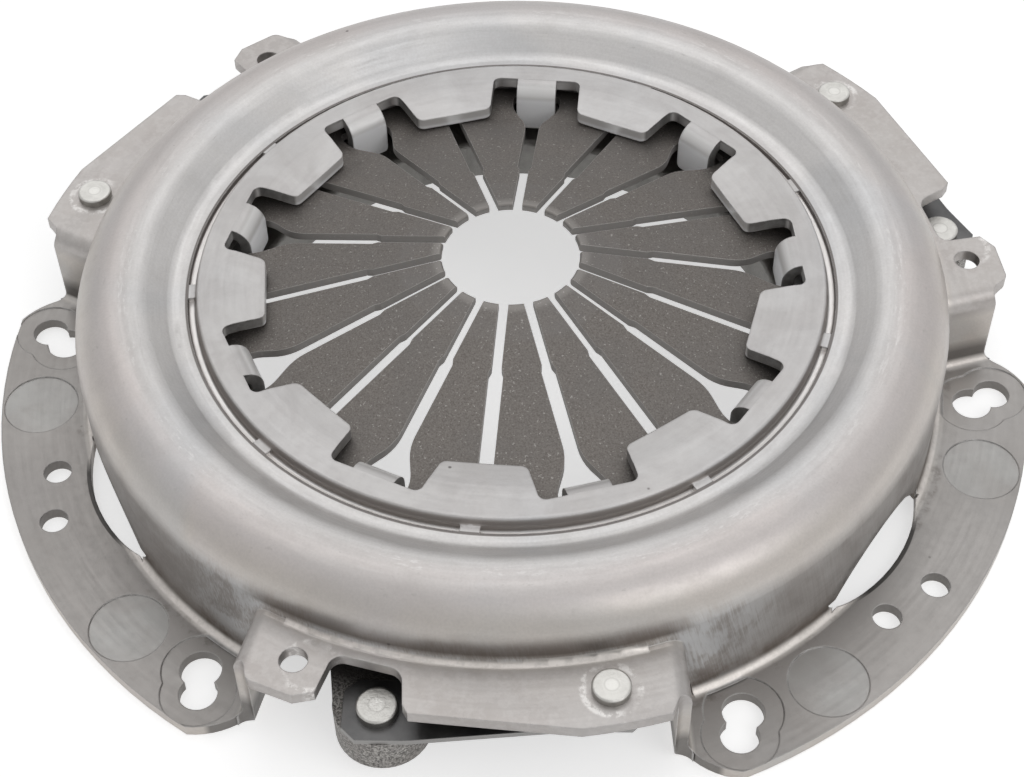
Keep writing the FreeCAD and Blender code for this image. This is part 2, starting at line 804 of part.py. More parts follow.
def hook_profile(sketch):
    """Section of a hook: out of the shelf, down through the spring and out below it."""
    sheet = dims.hook_sheet
    inner = dims.hook_bend - sheet
    root_reach = slot_reach + dims.hook_root
    top = shelf_top - dims.hook_sink
    foot_reach = bead_radius + dims.hook_foot_past
    outline(sketch, [
        Corner(root_reach, top),
        Corner(hook_face, top, dims.hook_bend),
        Corner(hook_face, foot_top - sheet, dims.hook_bend),
        Corner(foot_reach, foot_top - sheet, dims.hook_foot_round),
        Corner(foot_reach, foot_top, dims.hook_foot_round),
        Corner(hook_face + sheet, foot_top, inner),
        Corner(hook_face + sheet, top - sheet, inner),
        Corner(root_reach, top - sheet),
    ])


def make_spring():
    """Dished ring with two fingers to a tab, slotted to the windows that the hooks pass."""
    body = new_body("diaphragm_spring")
    profile = new_sketch(body, "spring_sketch", "XZ_Plane")
    bend_height = tip_height - finger_fall
    edge_height = spring_top(spring_radius)
    finger_rise = root(1 + dims.finger_slope * dims.finger_slope) * dims.spring_sheet
    outline(profile, [
        Corner(dims.tip_radius, tip_height, dims.tip_round),
        Corner(cone_radius, bend_height, dims.cone_round),
        Corner(spring_radius, edge_height, dims.spring_edge_round),
        Corner(spring_radius, edge_height - spring_rise, dims.spring_edge_round),
        Corner(cone_radius, bend_height - spring_rise, dims.cone_round),
        Corner(dims.tip_radius, tip_height - finger_rise, dims.tip_round),
    ])
    revolve(body, profile, "spring_ring")
    window = new_sketch(body, "window_slot_sketch", lift=TALL, turn=Size(FRONT_TURN) - half_tab)
    half = dims.hook_half_width + dims.hook_side_clearance
    outer = window_inner + dims.spring_window_depth
    funnel = window_inner - dims.window_funnel
    outline(window, finger_slot() + [
        Corner(funnel, dims.finger_slot_half, dims.window_funnel_round),
        Corner(window_inner, half, dims.window_inner_round),
        Corner(outer, half, dims.window_outer_round),
        Corner(outer, -half, dims.window_outer_round),
        Corner(window_inner, -half, dims.window_inner_round),
        Corner(funnel, -dims.finger_slot_half, dims.window_funnel_round),
    ] + finger_slot(-1))
    around(body, pocket(body, window, "window_slot"), tab_total, "window_slots")
    plain = new_sketch(body, "plain_slot_sketch", lift=TALL, turn=FRONT_TURN)
    outline(plain, finger_slot() + [
        Corner(window_inner, dims.finger_slot_half),
        Corner(window_inner, -dims.finger_slot_half),
    ] + finger_slot(-1))
    around(body, pocket(body, plain, "plain_slot"), tab_total, "plain_slots")
    relief = new_sketch(body, "relief_sketch", lift=TALL, turn=FRONT_TURN)
    circle(relief, window_inner + dims.relief_inset, 0, dims.relief_radius)
    around(body, pocket(body, relief, "relief"), tab_total, "reliefs")
    return body


def finger_slot(side=1):
    """Corners of one side of a slot between two fingers."""
    change = dims.finger_slot_change
    corners = [
        Corner(dims.tip_radius - RUN_OUT, dims.tip_slot_half * side),
        Corner(change, dims.tip_slot_half * side),
        Corner(change + dims.finger_slot_taper, dims.finger_slot_half * side),
    ]
    return corners if side > 0 else corners[::-1]


def make_wire():
    body = new_body("fulcrum_ring")
    section = new_sketch(body, "wire_sketch", "XZ_Plane")
    circle(section, bead_radius, wire_height, dims.wire_radius)
    revolve(body, section, "wire")
    return body


def make_plate():
    """Cast ring with a ridge that bears on the spring and three lugs for the straps."""
    body = new_body("pressure_plate")
    profile = new_sketch(body, "plate_sketch", "XZ_Plane")
    inner = ridge_radius - dims.ridge_half_width
    outer = ridge_radius + dims.ridge_half_width
    outline(profile, [
        Corner(dims.plate_bore, dims.plate_bottom),
        Corner(plate_radius, dims.plate_bottom),
        Corner(plate_radius, plate_top, dims.plate_round),
        Corner(outer + dims.ridge_outer_foot, plate_top, dims.ridge_outer_foot),
        Corner(outer, ridge_top, dims.plate_round),
        Corner(inner, ridge_top, dims.plate_round),
        Corner(inner - dims.ridge_inner_foot, plate_top, dims.ridge_inner_foot),
        Corner(dims.plate_bore, plate_top, dims.plate_round),
    ])
    revolve(body, profile, "plate_ring")
    lug = new_sketch(body, "lug_sketch", lift=dims.lug_bottom, turn=-dims.lug_angle)
    root_half = dims.lug_radius + dims.lug_flare
    root_start = plate_radius - dims.lug_root_inset
    root_end = plate_radius - dims.lug_root_reach
    shoulder = plate_rivet_circle - dims.lug_shoulder
    outline(lug, [
        Corner(-root_half, -root_end),
        Corner(-dims.lug_radius, -shoulder, arc=dims.lug_nose_round),
        Corner(dims.lug_radius, -shoulder),
        Corner(root_half, -root_end),
        Corner(root_half, -root_start),
        Corner(-root_half, -root_start),
    ])
    around(body, pad(body, lug, "lug", lug_top - dims.lug_bottom), SECTORS, "lugs")
    hole = new_sketch(body, "lug_hole_sketch", lift=TALL)
    circle(hole, *plate_pin, dims.rivet_radius)
    around(body, pocket(body, hole, "lug_hole"), SECTORS, "lug_holes")
    return body


def make_strap(name, lift, index):
    """Thin leaf from the lug to the ledge: level, sloping, level, with cut corners."""
    body = new_body("%s_%d" % (name, index + 1))
    side = new_sketch(body, body.Name + "_side", "XZ_Plane")
    half = dims.strap_width / 2
    far = strap_length + half
    low = lug_top + lift
    high = low + dims.strap_drop
    seat = dims.plate_rivet_head + dims.strap_flat
    leaf = dims.strap_sheet
    bend = dims.strap_bend_round
    outline(side, [
        Corner(-half, low),
        Corner(seat, low, bend),
        Corner(strap_length - seat, high, bend),
        Corner(far, high),
        Corner(far, high + leaf),
        Corner(strap_length - seat, high + leaf, bend),
        Corner(seat, low + leaf, bend),
        Corner(-half, low + leaf),
    ])
    pad(body, side, body.Name + "_leaf", dims.strap_width, midplane=True)
    plan = new_sketch(body, body.Name + "_plan", lift=TALL)
    cut = dims.strap_corner
    clear = half + RUN_OUT
    outline(plan, [
        Corner(-half, half - cut),
        Corner(cut - half, half),
        Corner(far - cut, half),
        Corner(far, half - cut),
        Corner(far, cut - half),
        Corner(far - cut, -half),
        Corner(cut - half, -half),
        Corner(-half, cut - half),
    ])
    outline(plan, [
        Corner(-clear, -clear),
        Corner(strap_length + clear, -clear),
        Corner(strap_length + clear, clear),
        Corner(-clear, clear),
    ])
    pocket(body, plan, body.Name + "_corners")
    holes = new_sketch(body, body.Name + "_holes", lift=TALL)
    circle(holes, 0, 0, dims.rivet_radius)
    circle(holes, strap_length, 0, dims.rivet_radius)
    pocket(body, holes, body.Name + "_rivet_holes")
    turn_into_place(body, plate_pin, index, strap_turn)
    return body


def turn_into_place(body, pin, index, turn=0):
    """Carry a piece from its own origin to its pin in one of the three sectors."""
    step = 360 / SECTORS * index
    x, y = pin
    turn = as_size(turn) + step
    place_x = x * cosine(step) - y * sine(step)
    place_y = x * sine(step) + y * cosine(step)
    base = FreeCAD.Vector(place_x.number, place_y.number, 0)
    axis = FreeCAD.Vector(0, 0, 1)
    body.Placement = FreeCAD.Placement(base, FreeCAD.Rotation(axis, turn.number))
    bind(body, "Placement.Base.x", place_x)
    bind(body, "Placement.Base.y", place_y)
    if "dims" in turn.text:
        bind(body, "Placement.Rotation.Angle", turn)


def make_rivet(name, index, pin, head, head_base, head_height, tail_base):
    """Rivet with a low rounded head, a shank and a closed tail."""
    body = new_body("%s_%d" % (name, index + 1))
    section = new_sketch(body, body.Name + "_sketch", "XZ_Plane")
    shank = dims.rivet_radius
    tail = shank + dims.rivet_tail_margin
    outline(section, [
        Corner(0, tail_base - dims.rivet_tail_height),
        Corner(tail, tail_base - dims.rivet_tail_height, dims.rivet_edge_round),
        Corner(tail, tail_base),
        Corner(shank, tail_base),
        Corner(shank, head_base),
        Corner(head, head_base),
        Corner(head, head_base + head_height, dims.rivet_edge_round),
        Corner(0, head_base + head_height),
    ])
    revolve(body, section, body.Name + "_turned")
    turn_into_place(body, pin, index)
    return body


pieces = [make_cover(), make_spring(), make_wire(), make_plate()]
for index in range(SECTORS):
    pieces.append(make_strap("lower_strap", Size(0), index))
    pieces.append(make_strap("upper_strap", dims.strap_sheet, index))
    pieces.append(make_rivet("plate_rivet", index, plate_pin, dims.plate_rivet_head,
                             lug_top + pack_height, dims.plate_rivet_head_height, dims.lug_bottom))
    pieces.append(make_rivet("cover_rivet", index, cover_pin, dims.cover_rivet_head,
                             dims.ledge_top, dims.cover_rivet_head_height,
                             ledge_under - pack_height))
doc.recompute()

for thing in doc.Objects:
    if "Invalid" in thing.State or "Error" in thing.State:
        raise RuntimeError("%s: %s" % (thing.Name, thing.getStatusString()))
for piece in pieces:
    if piece.Shape.isNull() or not piece.Shape.isValid() or len(piece.Shape.Solids) != 1:
        raise RuntimeError(piece.Label + " is not one valid solid")

os.makedirs("parts", exist_ok=True)
for piece in pieces:
    piece.Shape.exportStep("parts/%s.step" % piece.Label)
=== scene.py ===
import json
import math
import bpy
from mathutils import Matrix, Vector


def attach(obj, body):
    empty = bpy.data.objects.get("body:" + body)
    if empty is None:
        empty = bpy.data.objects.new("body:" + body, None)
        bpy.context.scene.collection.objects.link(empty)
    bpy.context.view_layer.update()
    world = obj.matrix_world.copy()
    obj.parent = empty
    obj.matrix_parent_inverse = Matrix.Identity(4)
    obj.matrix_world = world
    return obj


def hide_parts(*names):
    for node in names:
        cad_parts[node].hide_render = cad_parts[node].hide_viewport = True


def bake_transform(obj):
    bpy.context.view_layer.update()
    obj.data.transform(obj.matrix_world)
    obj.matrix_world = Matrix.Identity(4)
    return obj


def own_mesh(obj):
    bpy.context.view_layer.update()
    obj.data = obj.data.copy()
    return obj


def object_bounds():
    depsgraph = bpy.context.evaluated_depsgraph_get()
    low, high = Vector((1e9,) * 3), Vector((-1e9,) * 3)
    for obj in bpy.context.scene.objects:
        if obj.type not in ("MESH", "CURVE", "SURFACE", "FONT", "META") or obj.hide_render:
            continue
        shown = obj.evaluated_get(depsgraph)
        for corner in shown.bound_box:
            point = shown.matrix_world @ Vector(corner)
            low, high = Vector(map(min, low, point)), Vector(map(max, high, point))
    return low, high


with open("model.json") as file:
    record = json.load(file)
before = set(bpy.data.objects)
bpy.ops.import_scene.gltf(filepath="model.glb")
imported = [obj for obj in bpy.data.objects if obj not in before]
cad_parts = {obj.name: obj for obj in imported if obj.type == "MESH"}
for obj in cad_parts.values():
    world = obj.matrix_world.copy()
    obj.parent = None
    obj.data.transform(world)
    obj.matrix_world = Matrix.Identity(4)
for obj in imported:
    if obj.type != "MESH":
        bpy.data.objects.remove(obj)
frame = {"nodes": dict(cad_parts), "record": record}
CAD_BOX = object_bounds()
MM = 0.001

# The camera, solved from the outlines of the rims in the photograph
LENS = 69.77
SENSOR_WIDTH = 36.0
CAMERA_PLACE = (39.14, -345.66, 394.02)
CAMERA_AZIMUTH = 6.517
CAMERA_ELEVATION = 49.099
CAMERA_ROLL = -1.120
CLIP_START = 0.01

# How many packs of straps there are
STRAP_PACKS = 3

# Radii of the cover's forms, in millimetres
SHELF_EDGE = 77.5
BEAD_WALL = 79.0
BEAD_FLOOR = 80.1
BEAD_RIM = 81.15
SLOPE_MIDDLE = 87.5
CREST = 96.0
WALL_MIDDLE = 108.6
WALL_RADIUS = 109.5
LEDGE_CREASE = 110.3
FLANGE_CREASE = 110.6
CREASE_BAND = 112.6

# How far from its middle line a flange ends and the raised ledge begins, in millimetres
FLANGE_HALF = (58, 64)
# The gap between flange and wall: its outer side is an arc about a point of the flange's middle
LENS_CENTRE = 73.1
LENS_RADIUS = 40.6
# The arch that the gap leaves in the foot of the wall: its centre lies below the flange
ARCH_DEPTH = 5.9
ARCH_RADIUS = (25, 27)

# Centres of round marks: millimetres beyond the wall, and degrees from the flange's middle
COVER_RIVET_SPOT = (8.8, 43.8)
PLATE_RIVET_SPOT = (9.3, 51.2)
DISC_SPOT = (13.7, 18.1)
SEAT_SPOT = (15.1, 30.0)
KEY_SPOT = (9.9, 28.2)
# Radii of those marks, in millimetres
PRESSED_RADIUS = 6.3
DISC_RADIUS = 9.5
SEAT_RADIUS = 8.9
KEY_RADIUS = 9.3
LINE_SOFTNESS = 0.15

SECTOR = math.radians(120)

# What each mark on a surface looks like: its strength, then its colour, or the two colours
# between which the mark varies. The first entry of each table is the bare surface.
COVER_PAINTS = {
    "bare": (1.0, (0.53, 0.515, 0.505), (0.60, 0.585, 0.58)),
    "slope": (0.7, (0.78, 0.765, 0.755)),
    "pink": (0.6, (0.66, 0.60, 0.58)),
    "beige": (0.5, (0.66, 0.61, 0.53)),
    "bluish": (0.4, (0.53, 0.545, 0.565)),
    "streak": (0.14, (0.42, 0.40, 0.39)),
    "blot": (0.16, (0.36, 0.335, 0.32)),
    "grain": (0.12, (0.30, 0.285, 0.275)),
    "flange": (0.85, (0.275, 0.262, 0.253), (0.35, 0.335, 0.325)),
    "flange_side": (0.8, (0.16, 0.152, 0.145)),
    "ledge": (0.7, (0.40, 0.375, 0.365), (0.47, 0.45, 0.44)),
    "ledge_fleck": (0.45, (0.60, 0.575, 0.56)),
    "pressed": (0.8, (0.86, 0.84, 0.82)),
    "shelf": (0.6, (0.43, 0.415, 0.41), (0.53, 0.52, 0.515)),
    "hook": (0.8, (0.82, 0.81, 0.80)),
    "rubbed_and_glint": (1.0, (0.95, 0.95, 0.96)),
    "cut": (0.85, (0.15, 0.143, 0.137), (0.26, 0.252, 0.245)),
    "bead_wall": (0.65, (0.31, 0.27, 0.245)),
    "bead_floor": (0.85, (0.93, 0.90, 0.88)),
    "bead_rim": (0.85, (0.12, 0.105, 0.098)),
    "wall": (1.0, (0.48, 0.465, 0.455), (0.37, 0.345, 0.33)),
    "wall_sheen": (0.6, (0.70, 0.715, 0.73)),
    "foot": (1.0, (0.17, 0.14, 0.118)),
    "shade": (0.8, (0.14, 0.115, 0.098)),
    "crease": (0.72, (0.88, 0.83, 0.79)),
    "crease_band_dark": (0.5, (0.14, 0.12, 0.105)),
    "crest_pale_mark": (0.35, (0.80, 0.79, 0.78)),
    "dash": (0.3, (0.36, 0.34, 0.32)),
    "lens": (0.9, (0.05, 0.047, 0.045)),
    "arch": (1.0, (0.12, 0.11, 0.105)),
    "disc": (1.0, (0.43, 0.43, 0.42)),
    "line": (1.0, (0.07, 0.065, 0.06)),
    "speck": (0.8, (0.10, 0.09, 0.085)),
    "edge": (1.0, (0.72, 0.71, 0.70)),
}
SPRING_PAINTS = {
    "bare": (1.0, (0.125, 0.112, 0.102), (0.245, 0.226, 0.21)),
    "cloud": (0.35, (0.16, 0.154, 0.15)),
    "tip": (0.6, (0.36, 0.34, 0.32)),
    "rubbed_and_glint": (0.4, (0.21, 0.20, 0.195)),
    "side": (0.75, (0.46, 0.44, 0.425)),
    "edge": (0.7, (0.60, 0.58, 0.56)),
    "speck": (0.5, (0.52, 0.50, 0.48)),
}
STRAP_PAINTS = {
    "bare": (1.0, (0.095, 0.094, 0.095), (0.175, 0.173, 0.172)),
    "sheared": (0.8, (0.40, 0.39, 0.38)),
}
RIVET_PAINTS = {
    "bare": (1.0, (0.54, 0.53, 0.505), (0.72, 0.71, 0.68)),
    "patchy_side_shade": (1.0, (0.30, 0.29, 0.27)),
    "edge": (0.3, (0.82, 0.81, 0.79)),
    "foot": (0.5, (0.34, 0.33, 0.31)),
    "ring": (0.45, (0.36, 0.35, 0.33)),
    "centre": (0.45, (0.84, 0.83, 0.80)),
}
IRON_PAINTS = {
    "bare": (1.0, (0.10, 0.095, 0.09), (0.56, 0.54, 0.515)),
    "cloud": (0.4, (0.2, 0.18, 0.165)),
    "inner": (0.9, (0.06, 0.055, 0.052)),
    "turned": (0.9, (0.44, 0.43, 0.41)),
}

# Studio: the floor with its gap below the part in millimetres, how bright the camera and
# the metal see it, the world's plain light, and the lamps with place, width and power
FLOOR_REACH = 6.0
FLOOR_GAP = 0.2
FLOOR_COLOUR = (0.82, 0.82, 0.82, 1)
FLOOR_SEEN = 0.58
FLOOR_MIRRORED = 0.43
WORLD_LIGHT = 0.55
WHITE = (1, 1, 1, 1)
LAMP_TARGET = (0, 0, 0.02)
LAMPS = {
    "key": ((-0.1, 0.55, 1.1), 1.3, 3.0),
    "fill": ((0.7, -0.6, 0.8), 0.7, 2),
}


class Nodes:
    """Short names for making and joining shader nodes in one tree."""

    def __init__(self, tree):
        self.tree = tree

    def add(self, kind, **settings):
        node = self.tree.nodes.new(kind)
        for name, value in settings.items():
            setattr(node, name, value)
        return node

    def link(self, source, target):
        self.tree.links.new(source, target)

    def feed(self, socket, value):
        """Link a socket into this one, or set this one to a plain value."""
        if isinstance(value, bpy.types.NodeSocket):
            self.link(value, socket)
        else:
            socket.default_value = value

    def colour(self, socket, value):
        self.feed(socket, value if isinstance(value, bpy.types.NodeSocket) else (*value, 1))

    def math(self, operation, first, second=0.0):
        node = self.add("ShaderNodeMath", operation=operation)
        self.feed(node.inputs[0], first)
        self.feed(node.inputs[1], second)
        return node.outputs[0]

    def both(self, *values):
        """Product of all the values: where every mask holds."""
        result = values[0]
        for value in values[1:]:
            result = self.math("MULTIPLY", result, value)
        return result

    def total(self, first, second):
        return self.math("ADD", first, second)

    def most(self, first, second):
        return self.math("MAXIMUM", first, second)

    def length(self, first, second):
        """Length of a line with these two legs."""
        return self.math("SQRT", self.total(self.both(first, first), self.both(second, second)))

    def vector(self, x, y, z):
        node = self.add("ShaderNodeCombineXYZ")
        for socket, value in zip(node.inputs, (x, y, z)):
            self.feed(socket, value)
        return node.outputs[0]

    def noise(self, vector, scale, detail=3.0, roughness=0.5, distortion=0.0):
        node = self.add("ShaderNodeTexNoise")
        self.feed(node.inputs["Vector"], vector)
        node.inputs["Scale"].default_value = scale
        node.inputs["Detail"].default_value = detail
        node.inputs["Roughness"].default_value = roughness
        node.inputs["Distortion"].default_value = distortion
        return node.outputs["Fac"]

    def spread(self, value, low, high, to_low=0.0, to_high=1.0, smooth=False):
        """Stretch the range from low to high over to_low to to_high, and clamp the rest."""
        node = self.add("ShaderNodeMapRange", clamp=True)
        if smooth:
            node.interpolation_type = "SMOOTHSTEP"
        self.feed(node.inputs["Value"], value)
        for name, number in (("From Min", low), ("From Max", high),
                             ("To Min", to_low), ("To Max", to_high)):
            node.inputs[name].default_value = number
        return node.outputs["Result"]

    def rise(self, length, low, high):
        """Nothing below the low length and one above the high one, in millimetres."""
        return self.spread(length, low * MM, high * MM)

    def fall(self, length, low, high, smooth=False):
        """One below the low length and nothing above the high one, in millimetres."""
        return self.spread(length, low * MM, high * MM, 1.0, 0.0, smooth=smooth)

    def band(self, length, middle, half, soft):
        """One within half of the middle, gone a soft width further out, in millimetres."""
        away = self.math("ABSOLUTE", self.math("SUBTRACT", length, middle * MM))
        return self.spread(away, half * MM, half * MM + soft * MM, 1.0, 0.0, smooth=True)

    def mix(self, factor, first, second):
        node = self.add("ShaderNodeMix", data_type="RGBA", blend_type="MIX")
        self.feed(node.inputs["Factor"], factor)
        self.colour(node.inputs["A"], first)
        self.colour(node.inputs["B"], second)
        return node.outputs["Result"]

    def bump(self, height, strength, distance, normal):
        node = self.add("ShaderNodeBump")
        node.inputs["Strength"].default_value = strength
        node.inputs["Distance"].default_value = distance
        self.feed(node.inputs["Height"], height)
        self.link(normal, node.inputs["Normal"])
        return node.outputs["Normal"]


class Place:
    """Where a shading point lies on the part: position, radius, height and sector."""

    def __init__(self, nodes):
        self.nodes = nodes
        coordinates = nodes.add("ShaderNodeTexCoord")
        self.position = coordinates.outputs["Object"]
        parts = nodes.add("ShaderNodeSeparateXYZ")
        nodes.link(self.position, parts.inputs[0])
        x, y, self.z = parts.outputs
        self.radius = nodes.length(x, y)
        self.east = nodes.math("DIVIDE", x, self.radius)
        self.north = nodes.math("DIVIDE", y, self.radius)
        self.set_facing()
        self.set_sector(x, y)

    def set_facing(self):
        """Which way the surface faces: up, and away from the axis."""
        nodes = self.nodes
        geometry = nodes.add("ShaderNodeNewGeometry")
        self.normal = geometry.outputs["Normal"]
        facing = nodes.add("ShaderNodeSeparateXYZ")
        nodes.link(self.normal, facing.inputs[0])
        self.facing_up = facing.outputs[2]
        self.facing_out = nodes.total(nodes.both(facing.outputs[0], self.east),
                                      nodes.both(facing.outputs[1], self.north))

    def set_sector(self, x, y):
        """Lengths across and along the middle line of the flange of the point's sector."""
        nodes = self.nodes
        angle = nodes.math("ARCTAN2", x, y)
        shifted = nodes.total(angle, SECTOR * 2.5)
        folded = nodes.math("SUBTRACT", nodes.math("MODULO", shifted, SECTOR), SECTOR / 2)
        self.across = nodes.both(self.radius, nodes.math("SINE", folded))
        self.outward = nodes.both(self.radius, nodes.math("COSINE", folded))
        self.off_middle = nodes.math("ABSOLUTE", self.across)

    def upright(self):
        """One on faces that stand upright."""
        steepness = self.nodes.math("ABSOLUTE", self.facing_up)
        return self.nodes.spread(steepness, 0.2, 0.5, 1.0, 0.0)

    def distance_from(self, spot):
        """Distance from a round mark's centre, on both sides of each flange's middle."""
        nodes = self.nodes
        beyond_wall, degrees = spot
        reach = (WALL_RADIUS + beyond_wall) * MM
        angle = math.radians(degrees)
        side = nodes.math("SUBTRACT", self.off_middle, reach * math.sin(angle))
        out = nodes.math("SUBTRACT", self.outward, reach * math.cos(angle))
        return nodes.length(side, out)


class Surface:
    """A material while it is painted: its nodes, the place of the point, its colour so far."""

    def __init__(self, name, paints, metallic, roughness, plain_colour, edge_radius):
        self.material = bpy.data.materials.new(name)
        self.material.use_nodes = True
        self.material.diffuse_color = (*plain_colour, 1)
        self.shader = self.material.node_tree.nodes["Principled BSDF"]
        self.shader.inputs["Metallic"].default_value = metallic
        self.shader.inputs["Roughness"].default_value = roughness
        self.shader.inputs["Base Color"].default_value = (*plain_colour, 1)
        self.nodes = Nodes(self.material.node_tree)
        self.place = Place(self.nodes)
        self.paints = paints
        self.colour = None
        self.set_edge(edge_radius)

    def set_edge(self, radius):
        """Rounded normal at the edges, and how much of an edge there is at the point."""
        bevel = self.nodes.add("ShaderNodeBevel", samples=4)
        bevel.inputs["Radius"].default_value = radius
        self.edge_normal = bevel.outputs["Normal"]
        dot = self.nodes.add("ShaderNodeVectorMath", operation="DOT_PRODUCT")
        self.nodes.link(self.edge_normal, dot.inputs[0])
        self.nodes.link(self.place.normal, dot.inputs[1])
        self.edge = self.nodes.spread(dot.outputs["Value"], 0.90, 0.995, 1.0, 0.0)

    def bare(self, blend):
        """Start with the bare surface, which varies between its two colours."""
        _, first, second = self.paints["bare"]
        self.colour = self.nodes.mix(blend, first, second)

    def paint(self, mark, mask, blend=None):
        """Lay a mark over the colour so far where the mask holds."""
        strength, *colours = self.paints[mark]
        colour = colours[0] if blend is None else self.nodes.mix(blend, *colours)
        if strength != 1.0:
            mask = self.nodes.both(mask, strength)
        self.colour = self.nodes.mix(mask, self.colour, colour)

    def finish(self, roughness, height, strength, distance):
        inputs = self.shader.inputs
        self.nodes.link(self.colour, inputs["Base Color"])
        self.nodes.link(roughness, inputs["Roughness"])
        bump = self.nodes.bump(height, strength, distance, self.edge_normal)
        self.nodes.link(bump, inputs["Normal"])
        return self.material


class CoverSurface(Surface):
    """Pressed sheet: drawn rings on the crown, drawn marks down the wall, pale broken marks
    along the crest.
    """

    def __init__(self):
        super().__init__("cover_steel", COVER_PAINTS, 0.85, 0.4, (0.52, 0.5, 0.49), 0.0005)
        self.set_drawn_noises()
        noise, position = self.nodes.noise, self.place.position
        self.cloud = noise(position, 14.0, 3.0, 0.55, 0.4)
        self.tint = noise(position, 22.0, 2.0, 0.5, 0.8)
        self.grain = noise(position, 1600.0, 3.0, 0.6)
        self.fleck = noise(position, 420.0, 4.0, 0.7)
        self.blot = noise(position, 70.0, 4.0, 0.6, 0.5)
        self.set_masks()

    def around(self, path, fineness, turns):
        """Coordinates for marks that run round the axis: fine across, long along."""
        n, place = self.nodes, self.place
        return n.vector(n.both(path, fineness), n.both(place.east, turns),
                        n.both(place.north, turns))

    def set_drawn_noises(self):
        """Streaks, bands and dashes round the axis, and slanting marks down the wall."""
        n, place = self.nodes, self.place
        path = n.total(place.radius, place.z)
        self.streaks = n.noise(self.around(path, 900.0, 5.0), 1.0, 4.0, 0.6)
        self.bands = n.noise(self.around(path, 170.0, 1.3), 1.0, 2.0, 0.5)
        self.dashes = n.noise(self.around(path, 1400.0, 34.0), 1.0, 3.0, 0.6)
        lean = n.both(place.z, 1.6)
        down = n.vector(n.both(n.total(place.east, lean), 210.0),
                        n.both(n.total(place.north, lean), 210.0), n.both(place.z, 60.0))
        self.drawn = n.noise(down, 1.0, 5.0, 0.65)

    def set_masks(self):
        """Regions of the cover that several marks share."""
        n, place = self.nodes, self.place
        self.low = n.fall(place.z, 8, 12)
        self.level = n.spread(place.facing_up, 0.80, 0.97)
        self.outside = n.rise(place.radius, 110.5, 112.5)
        self.ringed = n.fall(place.radius, 110, 111)
        self.flange = n.both(self.outside, self.low, self.level)
        self.ledge = n.both(self.outside, n.rise(place.z, 20, 23), n.fall(place.z, 28, 28.6))
        self.wall = n.both(n.band(place.radius, WALL_MIDDLE, 1.6, 1.0),
                           n.spread(place.facing_up, 0.25, 0.6, 1.0, 0.0))
        self.high = n.rise(place.z, 38, 41)

    def paint_sheet(self):
        """The whole sheet: pale slope, soft pink and beige rings, fine grain."""
        n, place = self.nodes, self.place
        self.bare(n.spread(self.cloud, 0.35, 0.68))
        self.paint("slope", n.both(n.band(place.radius, SLOPE_MIDDLE, 3.5, 5.0),
                                   n.rise(place.z, 35, 36)))
        self.paint("pink", n.both(n.rise(place.radius, 94, 98),
                                  n.spread(self.bands, 0.3, 0.6, 0.35, 1.0)))
        self.paint("beige", n.both(n.rise(place.radius, 103, 107),
                                   n.spread(self.tint, 0.35, 0.6, 0.3, 1.0)))
        self.paint("bluish", n.spread(self.tint, 0.52, 0.72))
        self.paint("streak", n.both(self.ringed, n.spread(self.streaks, 0.35, 0.7)))
        self.paint("blot", n.spread(self.blot, 0.5, 0.75))
        self.paint("grain", n.spread(self.grain, 0.35, 0.65))

    def paint_flats(self):
        """Flanges with painted shade on their inner sides, ledges with the scrape round each
        rivet, shelf.
        """
        n, place = self.nodes, self.place
        self.paint("flange", self.flange, n.spread(self.cloud, 0.4, 0.62))
        # Painted shade on the flanges' upright inner sides
        self.paint("flange_side", n.both(self.low, place.upright(),
                                         n.rise(place.radius, 111, 112),
                                         n.fall(place.radius, 130, 131)))
        blotted = n.spread(self.blot, 0.4, 0.62)
        self.paint("ledge", self.ledge, blotted)
        self.paint("ledge_fleck", n.both(self.ledge, n.spread(self.fleck, 0.45, 0.6)))
        scrape = n.band(place.distance_from(COVER_RIVET_SPOT), PRESSED_RADIUS, 0.4, 0.7)
        self.paint("pressed", n.both(self.ledge, scrape, n.spread(self.fleck, 0.44, 0.58),
                                     n.spread(self.blot, 0.4, 0.56)))
        self.paint("shelf", n.both(n.fall(place.radius, SHELF_EDGE, 78.2), self.level), blotted)

    def paint_hooks(self):
        """Painted highlight on the hooks, brightest where they bend under, and painted shade on
        their sheared sides.
        """
        n, place = self.nodes, self.place
        hook = n.both(n.fall(place.radius, 72.9, 73.3), n.fall(place.z, 37.2, 37.9),
                      n.spread(place.facing_up, 0.85, 0.93, 1.0, 0.0))
        # Painted highlight on the bent faces of the hooks
        self.paint("hook", hook)
        # Painted highlight, brightest where the hooks bend under
        rubbed_and_glint = n.both(hook, n.fall(place.z, 34.2, 35.0), n.fall(place.radius, 68.4, 68.8))
        self.paint("rubbed_and_glint", rubbed_and_glint)
        sideways = n.spread(n.math("ABSOLUTE", place.facing_out), 0.45, 0.75, 1.0, 0.0)
        # Painted shade on the hooks' sheared sides, which stand in the spring's windows
        self.paint("cut", n.both(place.upright(), sideways, n.fall(place.radius, 76.5, 77.5),
                                 n.rise(place.z, 29, 31)), n.spread(self.fleck, 0.4, 0.6))
        # Less metallic under the painted highlights, so that the hooks look brighter
        hook_glint = n.total(n.both(hook, 0.35), n.both(rubbed_and_glint, 0.4))
        n.link(n.math("SUBTRACT", 0.8, hook_glint), self.shader.inputs["Metallic"])

    def paint_bead(self):
        """Brown inner wall of the bead's groove, painted highlight along its floor, painted
        shade line at its rim.
        """
        n, place = self.nodes, self.place
        self.paint("bead_wall", n.both(n.band(place.radius, BEAD_WALL, 0.3, 0.3),
                                       n.fall(place.z, 38.0, 38.15),
                                       n.spread(place.facing_up, 0.5, 0.9, 1.0, 0.0)))
        # Painted highlight along the floor of the groove
        self.paint("bead_floor", n.both(n.band(place.radius, BEAD_FLOOR, 0.55, 0.2),
                                        n.fall(place.z, 35.2, 35.6)))
        # Painted shade line at the groove's rim
        self.paint("bead_rim", n.both(n.band(place.radius, BEAD_RIM, 0.3, 0.25),
                                      n.fall(place.z, 36.2, 36.5)))

